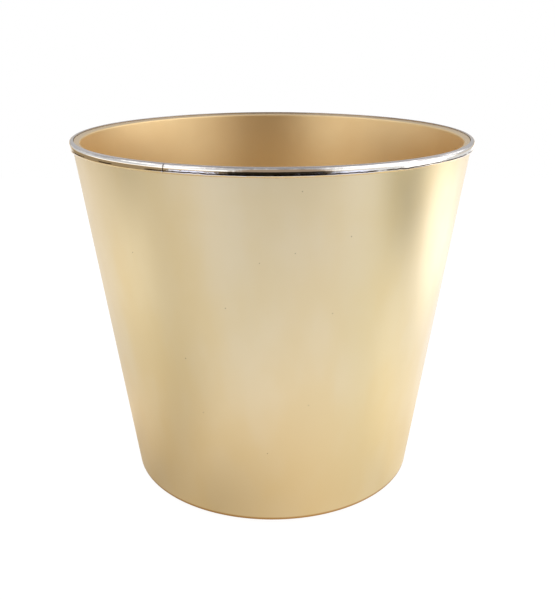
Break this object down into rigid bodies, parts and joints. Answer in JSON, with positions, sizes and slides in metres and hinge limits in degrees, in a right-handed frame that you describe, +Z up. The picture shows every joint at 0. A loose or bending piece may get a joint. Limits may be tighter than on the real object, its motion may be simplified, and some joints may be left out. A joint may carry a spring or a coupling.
{
  "type": "cachepot",
  "caption": "Round tapered metal cachepot with a satin gold wall, a bright rounded hoop round the lip and a recessed, sealed base.",
  "frame": {"origin": "centre of the pot on the surface it stands on, level with the undersides of the foot pads", "axes": "+Z up along the pot's axis towards the mouth; -Y is the side that faces the picture's camera; +X to the right there"},
  "size_m": [0.1464, 0.1464, 0.131],
  "materials": {
    "gold_wall": "satin",
    "bright_rim": "polished",
    "gold_base": "satin",
    "sealant": "satin",
    "pad_rubber": "matte"
  },
  "bodies": {
    "root": {"side_wall": "gold_wall", "rim_ring": "bright_rim", "base_plate": "gold_base", "base_seal": "sealant", "foot_pad_1": "pad_rubber", "foot_pad_2": "pad_rubber", "foot_pad_3": "pad_rubber", "foot_pad_4": "pad_rubber"}
  },
  "joints": []
}
